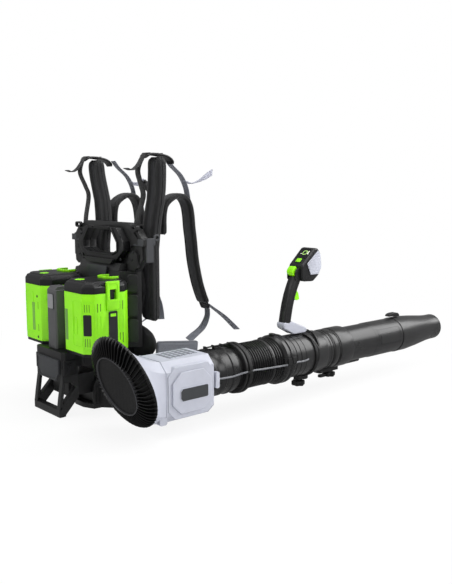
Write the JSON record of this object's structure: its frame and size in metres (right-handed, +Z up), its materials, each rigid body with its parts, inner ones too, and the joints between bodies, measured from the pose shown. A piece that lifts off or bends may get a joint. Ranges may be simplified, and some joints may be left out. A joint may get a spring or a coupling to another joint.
{
  "type": "backpack leaf blower",
  "caption": "Battery backpack leaf blower: harness frame with lift-out batteries, side blower with intake grille, ribbed hose, telescoping tube and control handle.",
  "frame": {"origin": "on the floor under the middle of the pack, on the centre plane between the two batteries", "axes": "+X is the wearer's right, towards the blower; +Y is forward, along the blower tube to the nozzle; +Z is up"},
  "size_m": [0.6483, 1.3662, 0.7145],
  "materials": {
    "frame_plastic": "black moulded nylon, fine grain",
    "dark_plastic": "black moulded plastic, fine grain",
    "mid_plastic": "dark grey moulded plastic, satin",
    "pale_plastic": "pale lavender grey moulded plastic, satin",
    "lime_plastic": "bright green moulded plastic, semi gloss",
    "tube_plastic": "black extruded tube, smooth",
    "hose_rubber": "black flexible hose",
    "cable_rubber": "grey cable sheath",
    "fan_plastic": "black glass filled nylon",
    "winding": "copper coloured windings",
    "steel": "bright steel",
    "contact_metal": "plated contact metal",
    "circuit_board": "green circuit board",
    "cell_metal": "metal cell cans",
    "display_window": "dark window with a lit gauge",
    "pad_fabric": "black padded mesh fabric",
    "belt_fabric": "grey padded fabric",
    "webbing_fabric": "woven grey webbing"
  },
  "bodies": {
    "pack": {"back_frame": "frame_plastic", "carry_handle": "dark_plastic", "base_column": "frame_plastic", "foot_loop": "frame_plastic", "badge_plates": "mid_plastic", "dock_post": "mid_plastic", "battery_dock": "dark_plastic", "dock_terminals": "contact_metal", "controller_box": "frame_plastic", "controller_board": "circuit_board", "blower_bracket": "frame_plastic", "intake_grille": "dark_plastic", "intake_cone": "pale_plastic", "motor_housing": "pale_plastic", "side_cover": "pale_plastic", "fan_duct": "fan_plastic", "motor_stator": "winding", "motor_bearings": "steel", "outlet_collar": "dark_plastic", "housing_screws": "steel", "hose_rear_band": "dark_plastic", "hose_rear": "hose_rubber", "cable_rear": "cable_rubber", "back_pad": "pad_fabric", "lumbar_pad": "pad_fabric", "upright_pads": "pad_fabric", "shoulder_straps": "pad_fabric", "webbing": "webbing_fabric", "strap_buckles": "dark_plastic", "hip_belt": "belt_fabric"},
    "fan": {"fan_rotor": "fan_plastic", "motor_shaft": "steel"},
    "hose_mid": {"hose_hoop": "hose_rubber"},
    "tube": {"hose_front": "hose_rubber", "hose_front_band": "dark_plastic", "rear_tube": "tube_plastic", "cable_front": "cable_rubber", "pipe_lock_ring": "dark_plastic"},
    "handle": {"handle_clamp": "dark_plastic", "handle_bracket": "pale_plastic", "grip": "dark_plastic", "head_shell": "frame_plastic", "head_covers": "pale_plastic", "display": "display_window"},
    "handle_knob": {"handle_knob": "dark_plastic"},
    "trigger": {"throttle_trigger": "lime_plastic"},
    "cruise": {"cruise_lever": "lime_plastic"},
    "power": {"power_button": "lime_plastic"},
    "pipe": {"main_pipe": "tube_plastic"},
    "pipe_lock": {"pipe_lock_knob": "dark_plastic"},
    "nozzle": {"nozzle": "tube_plastic"},
    "nozzle_latch": {"nozzle_latch": "dark_plastic"},
    "battery_left": {"battery_left_shell": "lime_plastic", "battery_left_caps": "dark_plastic", "battery_left_cells": "cell_metal"},
    "battery_left_latch": {"battery_left_latch": "lime_plastic"},
    "battery_right": {"battery_right_shell": "lime_plastic", "battery_right_caps": "dark_plastic", "battery_right_cells": "cell_metal"},
    "battery_right_latch": {"battery_right_latch": "lime_plastic"}
  },
  "joints": [
    {"name": "fan_spin", "type": "hinge", "parent": "pack", "child": "fan", "pos_m": [0.331, 0.035, 0.125], "axis": [0, 1, 0], "continuous": true},
    {"name": "hose_swing", "type": "hinge", "parent": "pack", "child": "hose_mid", "pos_m": [0.331, 0.3214, 0.125], "axis": [0, 0, 1], "range_deg": [-20, 20], "deforming": ["hose_rear"]},
    {"name": "hose_lift", "type": "hinge", "parent": "hose_mid", "child": "tube", "pos_m": [0.331, 0.3886, 0.125], "axis": [1, 0, 0], "range_deg": [-8, 30], "deforming": ["hose_front"]},
    {"name": "handle_slide", "type": "slide", "parent": "tube", "child": "handle", "axis": [0, 1, 0], "range_m": [-0.02, 0.02]},
    {"name": "handle_knob_turn", "type": "hinge", "parent": "handle", "child": "handle_knob", "pos_m": [0.331, 0.514, 0.035], "axis": [0, 0, 1], "range_deg": [0, 90]},
    {"name": "trigger_pull", "type": "hinge", "parent": "handle", "child": "trigger", "pos_m": [0.331, 0.487, 0.3273], "axis": [-1, 0, 0], "range_deg": [0, 16], "stiffness_Nm_per_rad": 0.4},
    {"name": "cruise_turn", "type": "hinge", "parent": "handle", "child": "cruise", "pos_m": [0.331, 0.485, 0.3673], "axis": [1, 0, 0], "range_deg": [0, 40]},
    {"name": "power_press", "type": "slide", "parent": "handle", "child": "power", "axis": [0, 0.6757, -0.7372], "range_m": [0, 0.0015], "stiffness_N_per_m": 500},
    {"name": "pipe_extend", "type": "slide", "parent": "tube", "child": "pipe", "axis": [0, 1, 0], "range_m": [-0.02, 0.08]},
    {"name": "pipe_lock_turn", "type": "hinge", "parent": "tube", "child": "pipe_lock", "pos_m": [0.331, 0.653, 0.04], "axis": [0, 0, 1], "range_deg": [0, 90]},
    {"name": "nozzle_twist", "type": "hinge", "parent": "pipe", "child": "nozzle", "pos_m": [0.331, 0.99, 0.125], "axis": [0, 1, 0], "range_deg": [0, 30]},
    {"name": "nozzle_latch_press", "type": "slide", "parent": "nozzle", "child": "nozzle_latch", "axis": [0, 0, -1], "range_m": [0, 0.002], "stiffness_N_per_m": 800},
    {"name": "battery_left_lift", "type": "slide", "parent": "pack", "child": "battery_left", "axis": [0, 0, 1], "range_m": [0, 0.15]},
    {"name": "battery_left_latch_press", "type": "slide", "parent": "battery_left", "child": "battery_left_latch", "axis": [1, 0, 0], "range_m": [0, 0.003], "stiffness_N_per_m": 900},
    {"name": "battery_right_lift", "type": "slide", "parent": "pack", "child": "battery_right", "axis": [0, 0, 1], "range_m": [0, 0.15]},
    {"name": "battery_right_latch_press", "type": "slide", "parent": "battery_right", "child": "battery_right_latch", "axis": [-1, 0, 0], "range_m": [0, 0.003], "stiffness_N_per_m": 900}
  ]
}
